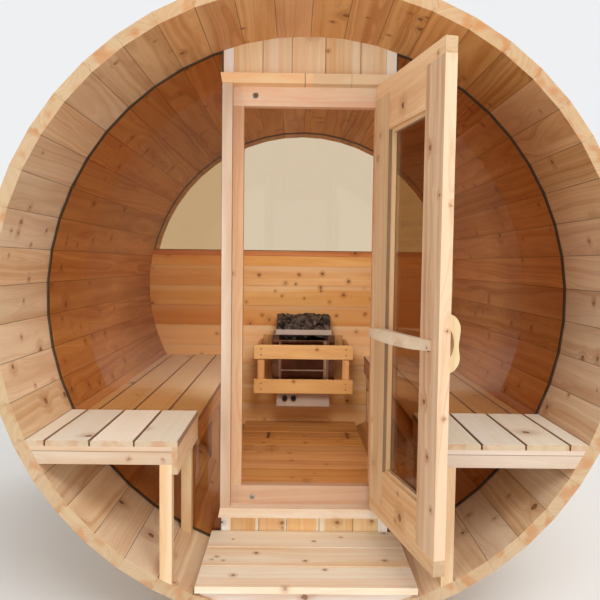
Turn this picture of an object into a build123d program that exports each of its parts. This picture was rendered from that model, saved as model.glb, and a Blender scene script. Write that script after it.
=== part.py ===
from build123d import *
from math import ceil, cos, degrees, pi, sqrt, tan
import os

# A barrel sauna of cedar staves. Millimetres, +Z up. The porch faces -Y and +X is on the right hand of
# someone facing the door. The origin is on the ground, below the middle of the barrel.

# Driving dimensions: the barrel
barrel_radius = 1067        # to the outer corners of the staves
barrel_length = 2438
stave_count = 50
stave_thickness = 43
bead_radius = 10            # half-round bead on one edge of each stave, in a cove in the next
joint_gap = 0.4             # between one stave and the next
staves_per_section = 10
ground_gap = 45             # from the ground to the lowest stave
seat_gap = 0.2              # between pieces cut to the barrel's inside and the staves
croze_depth = 10            # how deep the end walls go into the staves
wall_play = 0.3             # between an end wall and its croze

# The bands and the cradles
band_width = 25
band_thickness = 1.5
band_places = (0.14, 0.47, 0.88)    # shares of the barrel's length, from the front
cradle_width = 1160
cradle_height = 184
cradle_thickness = 76
cradle_places = (-820, 0, 820)      # along the barrel, from its middle
cradle_toe = 40                     # the sloped cut at each end

# The two end walls
porch_depth = 450           # front rim to the front wall
back_overhang = 140         # back wall to the back rim
front_board_thickness = 19
back_board_thickness = 38
board_cover = 134           # height that each board of the back wall covers
board_joints = (0.19, 0.38, 0.6, 0.83)  # upright boards, as shares of the doorway's width
board_vee = 2.5             # chamfer on each board's edges
glass_thickness = 8
glass_play = 3              # between the glass edge and its croze
seal_lip = 7                # how far the black seal stands in from the staves

# The doorway
doorway_half = 295.5        # half the width between the casings
sill_height = 109           # floor to sill trim
head_drop = 191             # roof to the underside of the head trim
casing_width = 38
casing_depth = 45
post_depth = 64
trim_height = 38
trim_depth = 52
trim_overhang = 7
stop_width = 41
stop_depth = 38
head_board_height = 74
threshold_height = 74

# The door leaf, as it hangs when closed
side_gap = 7
end_gap = 12
leaf_thickness = 38
stile_width = 134
cap_rail_height = 50
glass_setback = 26          # inner face of the leaf to its glass
leaf_glass_thickness = 6
leaf_glass_edge = 8         # how far the leaf's glass goes into its frame
leaf_glass_play = 1
bead_face = 12
bead_setback = 13
open_angle = 103            # how far the leaf stands open at rest

# The hinges
hinge_inset = 174           # from the leaf's top and bottom to the outer hinges
knuckle_radius = 5
knuckle_length = 22
knuckle_play = 0.6
pin_radius = 3
pin_play = 0.4
hinge_plate_width = 28
hinge_plate_thickness = 2.5

# The push bar inside and the pull handle outside
bar_end_height = 29
bar_middle_height = 42
bar_wave = 5.5              # the ends stand this far below and above the bar's level
bar_hinge_end = 28          # thickness at the hinge side
bar_latch_end = 10          # thickness at the latch side
bar_middle = 22             # thickness half-way
bar_bow = 15                # finger room behind the middle
bar_foot = 62               # length of each foot on its stile
bar_margin = 6              # from the bar's ends to the door stops
bar_level = 699             # above the leaf's bottom
handle_height = 184
handle_reach = 48
handle_waist = 44
handle_width = 26
handle_grip = 16
handle_slot = 100           # length of the finger slot
handle_top = 802            # above the leaf's bottom
handle_inset = 45           # from the leaf's free edge to the handle's middle

# The floor
floor_height = 101          # above the lowest stave's inner face
deck_half = 370
deck_board = 145
deck_gap = 4
deck_thickness = 22
deck_nose = 8               # how far the front board stands before the rim
fascia_thickness = 38
fascia_inset = 14           # behind the rim
runner_width = 38
runner_inset = 70           # from the floor's edge to the middle of an outer runner

# The benches on both sides, porch and cabin alike
porch_bench_height = 484    # above the floor
cabin_bench_height = 451
bench_inner = 428           # from the barrel's axis to the bench's edge
slat_width = 140
slat_gap = 6
slat_thickness = 19
batten_height = 16
rail_height = 43
rail_depth = 38
apron_height = 91
apron_thickness = 19
leg_size = 40
bench_end_gap = 4           # between a bench and the walls at its ends
cabin_frames = 3

# The window over the back wall
back_wall_top = 200         # above the barrel's axis
cap_height = 34
cap_nose = 6                # how far the cap stands past the boards

# The heater on the back wall
heater_middle = 12          # off the barrel's axis
heater_width = 394
heater_depth = 245
heater_foot = 256           # above the floor
heater_height = 395
heater_wall = 3
heater_stand_off = 30
heater_rim_height = 31
heater_rim_inset = 20
grille_top = 2              # below the case's shoulder
grille_height = 31
grille_inset = 42           # from the case's sides
bracket_width = 40
bracket_inset = 70
bracket_margin = 60         # from the case's top and bottom
stone_play = 0.3
stone_heap = 110            # above the rim
stone_depth = 150           # below the rim
stone_crown = (0.95, 0.6)   # width and depth of the heap's top, as shares of its foot
box_width = 340
box_height = 96
box_depth = 190
box_setback = 10            # behind the case's front
box_edge = 3
knob_radius = 17
knob_length = 16
knob_chamfer = 2
knob_ribs = 12
knob_rib_radius = 2
knob_pointer = (2, 15, 1.6)  # width, length and height of the pointer on the knob's face
knob_stand_off = 5
knob_shaft = 4
knob_play = 0.4
knob_hole_depth = 14
knob_clearance = 2          # from the shaft's end to the bottom of its hole
knob_drop = 43              # below the control box's top
knob_offsets = (-115, -60)  # from the heater's middle
guard_half = 309
guard_reach = 345           # back wall to the guard's front face
guard_board = 89
guard_thickness = 20
guard_below = 88            # from the heater's top down to the guard's
guard_drop = 217            # top board to bottom board
guard_chamfer = 2
guard_post = 42
guard_inset = 22

# Worked out from the above, with heights measured from the barrel's axis
axis_z = ground_gap + barrel_radius
half_turn = pi / stave_count
outer_flat = barrel_radius * cos(half_turn)
inner_flat = outer_flat - stave_thickness
inner_corner = inner_flat / cos(half_turn)
croze_radius = inner_corner + croze_depth
front_y = -barrel_length / 2
back_y = barrel_length / 2
wall_y = front_y + porch_depth
back_wall_y = back_y - back_overhang - back_board_thickness
croze_width = front_board_thickness + 2 * wall_play
floor_top = floor_height - inner_flat
sill_top = floor_top + sill_height
head_bottom = inner_flat - head_drop
post_outer = doorway_half + casing_width
face_y = wall_y + wall_play
casing_y = face_y - casing_depth
leaf_half = doorway_half - side_gap
leaf_width = 2 * leaf_half
leaf_bottom = sill_top + end_gap
leaf_top = head_bottom - end_gap
pin_x = doorway_half - side_gap / 2
pin_y = casing_y - knuckle_radius
hinge_heights = (leaf_bottom + hinge_inset, (leaf_bottom + leaf_top) / 2, leaf_top - hinge_inset)
runner_reach = deck_half - runner_inset
bench_back_y = wall_y - bench_end_gap
bench_top = floor_top + porch_bench_height
cabin_bench_top = floor_top + cabin_bench_height
window_bottom = back_wall_top + cap_height
heater_bottom = floor_top + heater_foot
heater_top = heater_bottom + heater_height
heater_back = back_wall_y - heater_stand_off
heater_front = heater_back - heater_depth
guard_top = heater_top - guard_below
guard_front = back_wall_y - guard_reach


def across(profile, start_y, end_y):
    """A profile drawn in X and Z about the barrel's axis, carried along the barrel."""
    solid = extrude(Plane.XZ * profile, amount=start_y - end_y)
    return Pos(0, start_y, axis_z) * solid


def block(x0, x1, y0, y1, z0, z1):
    """A squared piece of timber, its heights measured from the barrel's axis."""
    size = Box(abs(x1 - x0), abs(y1 - y0), abs(z1 - z0))
    return Pos((x0 + x1) / 2, (y0 + y1) / 2, axis_z + (z0 + z1) / 2) * size


def inside(start_y, end_y, gap=seat_gap):
    """The barrel's hollow, as a prism with one flat for each stave."""
    corner = inner_corner - gap / cos(half_turn)
    ring = RegularPolygon(corner, stave_count, rotation=degrees(half_turn))
    return across(ring, start_y, end_y)


def disc(radius, start_y, end_y):
    return across(Circle(radius), start_y, end_y)


def solids_of(shape):
    """The solids of a cut or an intersection, as a list."""
    return list(shape.solids())


def save(name, *pieces):
    solids = []
    for piece in pieces:
        solids.extend(solids_of(piece))
    export_step(Compound(children=solids), f"parts/{name}.step")


def pair(shape):
    """A piece and its mirror image on the other side of the barrel."""
    return [shape, mirror(shape, Plane.YZ)]


# Staves: each has a bead on one edge and a cove on the other, and a croze near each end for the walls.
def stave():
    def half_width(radius, gap):
        return radius * tan(half_turn) - gap / (2 * cos(half_turn))

    middle = (outer_flat + inner_flat) / 2
    outer_half = half_width(outer_flat, joint_gap)
    inner_half = half_width(inner_flat, joint_gap)
    corners = [(-outer_half, outer_flat), (outer_half, outer_flat),
               (inner_half, inner_flat), (-inner_half, inner_flat)]
    body = make_face(Polyline(*corners, close=True))
    bead = Pos(half_width(middle, joint_gap), middle) * Circle(bead_radius)
    cove = Pos(-half_width(middle, -joint_gap), middle) * Circle(bead_radius + joint_gap)
    solid = across(body + bead - cove, front_y, back_y)
    solid -= disc(croze_radius, wall_y, wall_y + croze_width)
    solid -= disc(croze_radius, back_wall_y - wall_play, back_wall_y + back_board_thickness + wall_play)
    return solid


def stave_section(first):
    """Neighbouring staves, numbered clockwise from the joint at the top."""
    staves = []
    for number in range(first, first + staves_per_section):
        angle = (number + 0.5) * 360 / stave_count
        staves.append(Pos(0, 0, axis_z) * Rot(0, angle, 0) * Pos(0, 0, -axis_z) * one_stave)
    return staves


# Bands: flat steel strip round the staves.
def band(middle_y):
    start, end = middle_y - band_width / 2, middle_y + band_width / 2
    outer = RegularPolygon(barrel_radius + band_thickness, stave_count, rotation=degrees(half_turn))
    inner = RegularPolygon(barrel_radius, stave_count, rotation=degrees(half_turn))
    return across(outer - inner, start, end)


# Cradles: planks on edge, hollowed to the outside of the staves.
def cradle(middle_y):
    start, end = middle_y - cradle_thickness / 2, middle_y + cradle_thickness / 2
    half = cradle_width / 2
    shape = [(-half, 0), (half, 0), (half, cradle_height - cradle_toe), (half - cradle_toe, cradle_height),
             (cradle_toe - half, cradle_height), (-half, cradle_height - cradle_toe)]
    plank = Pos(0, 0, -axis_z) * across(make_face(Polyline(*shape, close=True)), start, end)
    barrel = RegularPolygon(barrel_radius, stave_count, rotation=degrees(half_turn))
    return plank - across(barrel, start, end)


# End walls: boards with a small vee at each joint, let into the croze of the staves.
def upright_boards(low, high):
    """Upright boards between the door posts, cut to the round at the free end."""
    back = face_y + front_board_thickness
    wall = disc(croze_radius - wall_play, face_y, back)
    edges = [(2 * share - 1) * doorway_half for share in (0, *board_joints, 1)]
    boards = []
    for left, right in zip(edges, edges[1:]):
        board = block(left + seat_gap, right - seat_gap, face_y, back, low, high)
        front_edges = board.edges().filter_by(Axis.Z).sort_by(Axis.Y)[:2]
        boards.extend(solids_of(chamfer(front_edges, board_vee) & wall))
    return boards


def back_boards():
    wall = disc(croze_radius - wall_play, back_wall_y, back_wall_y + back_board_thickness)
    boards = []
    count = ceil((back_wall_top + croze_radius) / board_cover)
    for number in range(count):
        top = back_wall_top - number * board_cover
        board = block(-barrel_radius, barrel_radius, back_wall_y, back_wall_y + back_board_thickness,
                      top - board_cover + joint_gap, top)
        board = chamfer(board.edges().filter_by(Axis.X), board_vee)
        boards.extend(solids_of(board & wall))
    return boards


# Glass and its black seal: the seal fills the croze and laps the edge of the pane.
def front_pane():
    y = wall_y + croze_width / 2
    pane = disc(croze_radius - glass_play, y - glass_thickness / 2, y + glass_thickness / 2)
    return pane & block(post_outer + glass_play, barrel_radius, y - croze_width, y + croze_width,
                        -barrel_radius, barrel_radius)


def front_seal(pane):
    start, end = face_y, wall_y + croze_width - wall_play
    ring = disc(croze_radius - wall_play, start, end) & block(
        post_outer + seat_gap, barrel_radius, start, end, -barrel_radius, barrel_radius)
    daylight = disc(inner_flat - seal_lip, start, end) & block(
        post_outer + seal_lip, barrel_radius, start, end, -barrel_radius, barrel_radius)
    return ring - daylight - pane


def back_pane():
    y = back_wall_y + back_board_thickness / 2
    pane = disc(croze_radius - glass_play, y - glass_thickness / 2, y + glass_thickness / 2)
    return pane & block(-barrel_radius, barrel_radius, y - back_board_thickness, y + back_board_thickness,
                        window_bottom + glass_play, barrel_radius)


def back_seal(pane):
    start, end = back_wall_y, back_wall_y + back_board_thickness
    ring = disc(croze_radius - wall_play, start, end) & block(
        -barrel_radius, barrel_radius, start, end, window_bottom, barrel_radius)
    daylight = disc(inner_flat - seal_lip, start, end) & block(
        -barrel_radius, barrel_radius, start, end, window_bottom + seal_lip, barrel_radius)
    return ring - daylight - pane


# Trims over and under the door: their ends are cut on a slope.
def trim(low, high, wide_z):
    wide = post_outer + trim_overhang
    narrow = post_outer
    low_half = wide if wide_z == low else narrow
    high_half = wide if wide_z == high else narrow
    shape = [(-low_half, low), (low_half, low), (high_half, high), (-high_half, high)]
    return across(make_face(Polyline(*shape, close=True)), face_y - trim_depth, face_y)


# Door leaf: two full-width cap rails, two stiles between them, and two rails between the stiles.
def leaf_block(x0, x1, inner, outer, z0, z1):
    """A piece of the leaf. Depths are measured from the leaf's inner face towards its outer face."""
    back = casing_y + leaf_thickness
    return block(x0, x1, back - outer, back - inner, z0, z1)


def glazing_bead(x0, x1, z0, z1):
    return leaf_block(x0, x1, bead_setback, glass_setback, z0, z1)


# Push bar: a wave cut from one plank, bowed off the leaf between its two feet. It is drawn from above
# and from the front, and is what the two outlines have in common. The hinge side is at +X.
def push_bar():
    half = doorway_half - stop_width - bar_margin
    seat = half - bar_foot
    back = Spline((seat, 0), (0, bar_bow), (-seat, 0), tangents=[(-1, 0), (-1, 0)])
    front = Spline((-half, bar_latch_end), (-seat, (bar_latch_end + bar_middle) / 2),
                   (0, bar_bow + bar_middle), (half, bar_hinge_end))
    ends = Line((half, bar_hinge_end), (half, 0)) + Line((half, 0), (seat, 0))
    ends += Line((-seat, 0), (-half, 0)) + Line((-half, 0), (-half, bar_latch_end))
    above = extrude(make_face(back + front + ends), amount=bar_middle_height, both=True)

    end, middle = bar_end_height / 2, bar_middle_height / 2
    third = half / 3
    top = Spline((half, end - bar_wave), (third, middle), (-third, middle), (-half, end + bar_wave))
    bottom = Spline((-half, bar_wave - end), (-third, -middle), (third, -middle), (half, -end - bar_wave))
    sides = Line(top @ 1, bottom @ 0) + Line(bottom @ 1, top @ 0)
    from_front = extrude(Plane.XZ * make_face(top + bottom + sides), amount=leaf_thickness * 2, both=True)
    return Pos(0, casing_y + leaf_thickness, axis_z + leaf_bottom + bar_level) * (above & from_front)


# Pull handle: a D of wood with two rounded shoulders, a waist and a slot for the fingers.
def pull_handle():
    reach, height = handle_reach, handle_height
    outline = Spline((0, 0), (reach * 0.8, -height * 0.09), (reach, -height * 0.2),
                     (handle_waist, -height * 0.55), (reach, -height * 0.78),
                     (reach * 0.7, -height * 0.93), (0, -height))
    face = make_face(outline + Line((0, -height), (0, 0)))
    slot = Pos(0, -height / 2) * Ellipse(handle_waist - handle_grip, handle_slot / 2)
    x = leaf_half - handle_inset
    handle = extrude(face - slot, amount=handle_width / 2, both=True)
    # The outline's X becomes the way out from the leaf's outer face, -Y.
    handle = Rot(0, 0, -90) * Rot(90, 0, 0) * handle
    return Pos(-x, casing_y, axis_z + leaf_bottom + handle_top) * handle


# Hinges: two knuckles and the pin stay on the casing, and the middle knuckle goes with the leaf.
def round_bar(level, radius, length):
    """A cylinder about the hinge pin's line."""
    return Pos(pin_x, pin_y, axis_z + level) * Cylinder(radius, length)


def hinge_plate(x0, x1, level):
    full = 3 * knuckle_length + 2 * knuckle_play
    return block(x0, x1, casing_y - hinge_plate_thickness, casing_y, level - full / 2, level + full / 2)


def knuckle_room(level):
    """The space cut in a plate for the other half's knuckle."""
    return round_bar(level, knuckle_radius + 2 * pin_play, knuckle_length + 2 * knuckle_play)


def frame_hinge(level):
    pitch = knuckle_length + knuckle_play
    inner = pin_x + knuckle_radius / 2
    hinge = hinge_plate(inner, inner + hinge_plate_width, level) - knuckle_room(level)
    hinge += round_bar(level, pin_radius, 3 * knuckle_length + 2 * knuckle_play)
    for side in (-1, 1):
        hinge += round_bar(level + side * pitch, knuckle_radius, knuckle_length)
    return hinge


def leaf_hinge(level):
    pitch = knuckle_length + knuckle_play
    inner = pin_x - knuckle_radius / 2
    hinge = hinge_plate(inner - hinge_plate_width, inner, level)
    for side in (-1, 1):
        hinge -= knuckle_room(level + side * pitch)
    half = knuckle_length / 2
    hinge += block(pin_x - knuckle_radius, pin_x - knuckle_radius / 4,
                   casing_y - hinge_plate_thickness, casing_y, level - half, level + half)
    hinge += round_bar(level, knuckle_radius, knuckle_length)
    return hinge - round_bar(level, pin_radius + pin_play, 2 * knuckle_length)


def swing(piece):
    """The leaf as it stands at rest: turned open about its hinge pins."""
    return Pos(pin_x, pin_y, 0) * Rot(0, 0, open_angle) * Pos(-pin_x, -pin_y, 0) * piece


# Floor: boards across the barrel, their ends kept inside the staves, on runners shaped to the staves, and
# a fascia under the front board.
def deck(start, end):
    pitch = deck_board + deck_gap
    count = max(1, round((end - start) / pitch))
    pitch = (end - start + deck_gap) / count
    boards = []
    for number in range(count):
        y = start + number * pitch
        board = block(-deck_half, deck_half, y, y + pitch - deck_gap, floor_top - deck_thickness, floor_top)
        top_edges = board.edges().filter_by(Axis.X).group_by(Axis.Z)[-1]
        boards.append(chamfer(top_edges, board_vee) & inside(y, y + pitch - deck_gap))
    return boards


def bearer(x0, x1, start, end):
    """Timber under the floor boards, its underside shaped to the staves."""
    plank = block(x0, x1, start, end, -barrel_radius, floor_top - deck_thickness)
    return plank & inside(start, end)


def runners(start, end):
    places = (-runner_reach, 0, runner_reach)
    return [bearer(x - runner_width / 2, x + runner_width / 2, start, end) for x in places]


# Benches: slats along the barrel on battens and rails, with legs and an apron at the open edge.
def bench_slats(top, start, end):
    slats = []
    room = inside(start, end)
    reach = sqrt(inner_flat ** 2 - top ** 2) - bench_inner
    for number in range(ceil(reach / (slat_width + slat_gap))):
        x = bench_inner + number * (slat_width + slat_gap)
        slat = block(x, x + slat_width, start, end, top - slat_thickness, top)
        slat = chamfer(slat.edges().filter_by(Axis.Y).group_by(Axis.Z)[-1], board_vee)
        for piece in pair(slat):
            slats.extend(solids_of(piece & room))
    return slats


def bench_frames(top, starts):
    """Battens and rails, one of each under the slats at every place in starts."""
    pieces = []
    under = top - slat_thickness
    x = bench_inner + apron_thickness
    for y in starts:
        room = inside(y, y + rail_depth)
        batten = block(x, barrel_radius, y, y + rail_depth, under - batten_height, under)
        rail = block(x, barrel_radius, y, y + rail_depth,
                     under - batten_height - rail_height, under - batten_height)
        for piece in pair(batten) + pair(rail):
            pieces.extend(solids_of(piece & room))
    return pieces


def bench_legs(top, starts):
    legs = []
    head = top - slat_thickness - batten_height - rail_height
    x = bench_inner + apron_thickness
    for y in starts:
        room = inside(y, y + rail_depth)
        leg = block(x, x + leg_size, y, y + rail_depth, -barrel_radius, head)
        for piece in pair(leg):
            legs.extend(solids_of(piece & room))
    return legs


def bench_apron(top, start, end):
    under = top - slat_thickness
    apron = block(bench_inner, bench_inner + apron_thickness, start, end, under - apron_height, under)
    return pair(apron)


# Heater: a steel case with a louvred front, open at the top for the stones.
def heater_case():
    half = heater_width / 2
    shoulder = heater_top - heater_rim_height

    def shell(inset, low, high):
        """An upright block that stands in from the case's four sides."""
        return block(heater_middle - half + inset, heater_middle + half - inset,
                     heater_front + inset, heater_back - inset, low, high)

    case = shell(0, heater_bottom, shoulder) - shell(heater_wall, heater_bottom + heater_wall, heater_top)
    lid = shell(0, shoulder - heater_wall, shoulder)
    rim = shell(heater_rim_inset, shoulder - heater_wall, heater_top)
    throat = shell(heater_rim_inset + heater_wall, shoulder - heater_rim_height, heater_top + heater_wall)
    grille = shoulder - grille_top
    window = block(heater_middle - half + grille_inset, heater_middle + half - grille_inset,
                   heater_front - heater_wall, heater_front + 2 * heater_wall, grille - grille_height, grille)
    return case + lid + rim - throat - window


def heater_brackets():
    brackets = []
    for side in (-1, 1):
        x = heater_middle + side * (heater_width / 2 - bracket_inset)
        brackets.append(block(x - bracket_width / 2, x + bracket_width / 2, heater_back, back_wall_y,
                              heater_bottom + bracket_margin, heater_top - bracket_margin))
    return brackets


def stones():
    """The heap as one solid: it fills the throat and rises in a ridged crown."""
    edge = heater_rim_inset + heater_wall + stone_play
    left, right = heater_middle - heater_width / 2 + edge, heater_middle + heater_width / 2 - edge
    near, far = heater_front + edge, heater_back - edge
    level = heater_top
    base = block(left, right, near, far, level - stone_depth, level)
    top = Pos((left + right) / 2, (near + far) / 2, axis_z + level)
    width, depth = right - left, far - near
    lower = top * Rectangle(width, depth)
    upper = top * Pos(0, 0, stone_heap) * Rectangle(width * stone_crown[0], depth * stone_crown[1])
    return base + loft([lower.face(), upper.face()])


def control_box():
    front = heater_front + box_setback
    box = block(heater_middle - box_width / 2, heater_middle + box_width / 2, front, front + box_depth,
                heater_bottom - box_height, heater_bottom)
    box = chamfer(box.edges().filter_by(Axis.Z), box_edge)
    for offset in knob_offsets:
        box -= knob_axis(offset) * Cylinder(knob_shaft + knob_play, 2 * knob_hole_depth)
    return box


def knob_axis(offset):
    """The place where a knob's shaft meets the front of the control box, its Z pointing out."""
    front = heater_front + box_setback
    return Pos(heater_middle + offset, front, axis_z + heater_bottom - knob_drop) * Rot(90, 0, 0)


def knob(offset):
    middle = knob_stand_off + knob_length / 2
    grip = Pos(0, 0, middle) * Cylinder(knob_radius, knob_length)
    grip = chamfer(grip.edges().group_by(Axis.Z)[-1], knob_chamfer)
    groove = Pos(knob_radius + knob_rib_radius / 2, 0, middle) * Cylinder(knob_rib_radius, 2 * knob_length)
    for turn in range(knob_ribs):
        grip -= Rot(0, 0, turn * 360 / knob_ribs) * groove
    reach = knob_hole_depth - knob_clearance
    shaft = Pos(0, 0, (knob_stand_off - reach) / 2) * Cylinder(knob_shaft, knob_stand_off + reach)
    pointer = Pos(0, knob_pointer[1] / 2, knob_stand_off + knob_length) * Box(*knob_pointer)
    return knob_axis(offset) * (grip + shaft + pointer)


# Guard: two boards before the heater, posts behind their ends, and arms back to the wall.
def guard_boards():
    left, right = heater_middle - guard_half, heater_middle + guard_half
    boards = []
    for top in (guard_top, guard_top - guard_drop):
        board = block(left, right, guard_front, guard_front + guard_thickness, top - guard_board, top)
        boards.append(chamfer(board.edges().filter_by(Axis.X), guard_chamfer))
    return boards


def guard_posts():
    front = guard_front + guard_thickness
    foot = guard_top - guard_drop - guard_board
    posts = []
    for side in (-1, 1):
        outer = heater_middle + side * (guard_half - guard_inset)
        inner = outer - side * guard_post
        posts.append(block(outer, inner, front, front + guard_thickness, foot, guard_top))
    return posts


def guard_arms():
    front = guard_front + 2 * guard_thickness
    arms = []
    for side in (-1, 1):
        outer = heater_middle + side * (guard_half - guard_inset)
        inner = outer - side * guard_thickness
        for top in (guard_top, guard_top - guard_drop):
            arms.append(block(outer, inner, front, back_wall_y, top - guard_board, top))
    return arms


os.makedirs("parts", exist_ok=True)

# The shell
one_stave = stave()
save("staves_roof", *stave_section(-staves_per_section // 2))
save("staves_right_upper", *stave_section(staves_per_section // 2))
save("staves_right_lower", *stave_section(staves_per_section * 3 // 2))
save("staves_left_lower", *stave_section(staves_per_section * 5 // 2))
save("staves_left_upper", *stave_section(staves_per_section * 7 // 2))
save("steel_bands", *[band(front_y + share * barrel_length) for share in band_places])
save("cradles", *[cradle(place) for place in cradle_places])

# The front wall and the door frame
save("front_top_boards", *upright_boards(head_bottom, barrel_radius))
save("front_bottom_boards", *upright_boards(-barrel_radius, sill_top))
post = block(doorway_half, post_outer, face_y, face_y + post_depth, -barrel_radius, barrel_radius)
post = post & inside(face_y, face_y + post_depth)
save("front_posts", *pair(post))
casing = block(doorway_half, post_outer, casing_y, face_y, sill_top, head_bottom)
save("door_casings", *pair(casing))
save("door_head_trim", trim(head_bottom, head_bottom + trim_height, head_bottom + trim_height))
save("door_sill_trim", trim(sill_top - trim_height, sill_top, sill_top - trim_height))
threshold_top = sill_top + threshold_height
head_board_bottom = head_bottom - head_board_height
stop_y = face_y + stop_depth
save("door_head_board", block(-doorway_half, doorway_half, face_y, stop_y, head_board_bottom, head_bottom))
save("door_threshold", block(-doorway_half, doorway_half, face_y, stop_y, sill_top, threshold_top))
stop = block(doorway_half - stop_width, doorway_half, face_y, stop_y, threshold_top, head_board_bottom)
save("door_stops", *pair(stop))
pane = front_pane()
save("front_glass", *pair(pane))
save("front_glass_seals", *pair(front_seal(pane)))
save("frame_hinges", *[frame_hinge(level) for level in hinge_heights])

# The door leaf
stile = leaf_block(leaf_half - stile_width, leaf_half, 0, leaf_thickness, leaf_bottom + cap_rail_height,
                   leaf_top - cap_rail_height)
glass_half = leaf_half - stile_width
glass_low = leaf_bottom + cap_rail_height + stile_width
glass_high = leaf_top - cap_rail_height - stile_width


def leaf_sheet(edge):
    """A sheet in the plane of the leaf's glass that goes this far into the frame on all sides."""
    half = glass_half + edge
    return leaf_block(-half, half, glass_setback, glass_setback + leaf_glass_thickness,
                      glass_low - edge, glass_high + edge)


def leaf_rail(half, low, high):
    return leaf_block(-half, half, 0, leaf_thickness, low, high)


leaf_pane = leaf_sheet(leaf_glass_edge)
rebate = leaf_sheet(leaf_glass_edge + leaf_glass_play)
rails = [
    leaf_rail(leaf_half, leaf_bottom, leaf_bottom + cap_rail_height),
    leaf_rail(glass_half, leaf_bottom + cap_rail_height, glass_low) - rebate,
    leaf_rail(glass_half, glass_high, leaf_top - cap_rail_height) - rebate,
    leaf_rail(leaf_half, leaf_top - cap_rail_height, leaf_top),
]
beads = [
    glazing_bead(-glass_half, glass_half, glass_low, glass_low + bead_face),
    glazing_bead(-glass_half, glass_half, glass_high - bead_face, glass_high),
    glazing_bead(-glass_half, bead_face - glass_half, glass_low + bead_face, glass_high - bead_face),
    glazing_bead(glass_half - bead_face, glass_half, glass_low + bead_face, glass_high - bead_face),
]
save("door_stiles", *[swing(piece - rebate) for piece in pair(stile)])
save("door_rails", *[swing(piece) for piece in rails])
save("door_glass", swing(leaf_pane))
save("door_glazing_beads", *[swing(piece) for piece in beads])
save("door_push_bar", swing(push_bar()))
save("door_pull_handle", swing(pull_handle()))
save("leaf_hinges", *[swing(leaf_hinge(level)) for level in hinge_heights])

# The floor
deck_start = front_y - deck_nose
cabin_start = face_y + post_depth
save("porch_floor_boards", *deck(deck_start, bench_back_y))
save("cabin_floor_boards", *deck(cabin_start, back_wall_y - bench_end_gap))
fascia_y = front_y + fascia_inset
fascia_half = deck_half - fascia_inset
save("porch_floor_fascia", bearer(-fascia_half, fascia_half, fascia_y, fascia_y + fascia_thickness))
porch_runners = runners(fascia_y + fascia_thickness, bench_back_y)
cabin_runners = runners(cabin_start, back_wall_y - bench_end_gap)
save("floor_runners", *porch_runners, *cabin_runners)

# The porch benches
porch_starts = (front_y + seat_gap, bench_back_y - rail_depth)
save("porch_bench_slats", *bench_slats(bench_top, front_y, bench_back_y))
save("porch_bench_rails", *bench_frames(bench_top, porch_starts))
save("porch_bench_legs", *bench_legs(bench_top, porch_starts))
save("porch_bench_aprons", *bench_apron(bench_top, front_y, bench_back_y))

# The cabin benches
bench_start = wall_y + croze_width + bench_end_gap
bench_end = back_wall_y - bench_end_gap
frame_step = (bench_end - rail_depth - bench_start) / (cabin_frames - 1)
cabin_starts = [bench_start + frame_step * number for number in range(cabin_frames)]
save("cabin_bench_slats", *bench_slats(cabin_bench_top, bench_start, bench_end))
save("cabin_bench_rails", *bench_frames(cabin_bench_top, cabin_starts))
save("cabin_bench_legs", *bench_legs(cabin_bench_top, cabin_starts))
save("cabin_bench_aprons", *bench_apron(cabin_bench_top, bench_start, bench_end))

# The back wall and its window
save("back_wall_boards", *back_boards())
cap_front = back_wall_y - cap_nose
cap_back = back_wall_y + back_board_thickness + cap_nose
cap = block(-barrel_radius, barrel_radius, cap_front, cap_back, back_wall_top, window_bottom)
save("window_cap", cap & inside(cap_front, cap_back))
window = back_pane()
save("window_glass", window)
save("window_seal", back_seal(window))

# The heater
save("heater_case", heater_case())
save("heater_brackets", *heater_brackets())
save("heater_stones", stones())
save("heater_control_box", control_box())
save("timer_knob", knob(knob_offsets[0]))
save("thermostat_knob", knob(knob_offsets[1]))
save("guard_boards", *guard_boards())
save("guard_posts", *guard_posts())
save("guard_arms", *guard_arms())
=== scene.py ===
# The looks of the barrel sauna: cedar staves with an open porch, tinted glass, a framed door leaf standing
# open, benches, a boarded back wall with a half-moon window, and a guarded electric heater.
# Metres, +Z up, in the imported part's frame: the porch faces -Y and +X is on the right of someone facing it.
import math
import random

import bmesh
import bpy
from mathutils import Matrix, Vector


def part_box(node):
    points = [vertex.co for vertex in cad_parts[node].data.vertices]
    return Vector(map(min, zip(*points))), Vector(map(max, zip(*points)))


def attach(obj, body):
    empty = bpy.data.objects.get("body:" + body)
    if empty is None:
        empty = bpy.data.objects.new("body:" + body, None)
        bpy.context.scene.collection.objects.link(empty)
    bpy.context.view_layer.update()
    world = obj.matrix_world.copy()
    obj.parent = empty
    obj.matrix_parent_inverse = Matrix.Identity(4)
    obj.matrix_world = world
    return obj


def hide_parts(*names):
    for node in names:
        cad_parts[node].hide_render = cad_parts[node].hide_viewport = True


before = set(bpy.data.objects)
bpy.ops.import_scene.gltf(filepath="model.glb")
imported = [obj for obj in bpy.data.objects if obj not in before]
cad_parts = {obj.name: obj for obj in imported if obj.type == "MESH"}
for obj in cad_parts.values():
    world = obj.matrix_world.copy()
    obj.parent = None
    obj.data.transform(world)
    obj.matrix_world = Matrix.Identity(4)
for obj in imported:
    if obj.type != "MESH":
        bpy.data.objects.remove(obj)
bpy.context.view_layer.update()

# Staves. Fifty cedar boards round the barrel, each with a bead on one edge and a cove on the other.
# They are milled from knotty flat-sawn planks, fresh and without any finish, so every one has its own
# tone, and the sawn ends at the rim show the growth rings.
axis_z = 1.112
stave_count = 50
stave_turn = math.tau / stave_count
stave_middle = 1.0434
bead_radius = 0.0102


def feed(socket, value):
    """Joins a node's output to a socket, or sets the socket to a constant."""
    if isinstance(value, bpy.types.NodeSocket):
        socket.id_data.links.new(value, socket)
    else:
        socket.default_value = value


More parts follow.
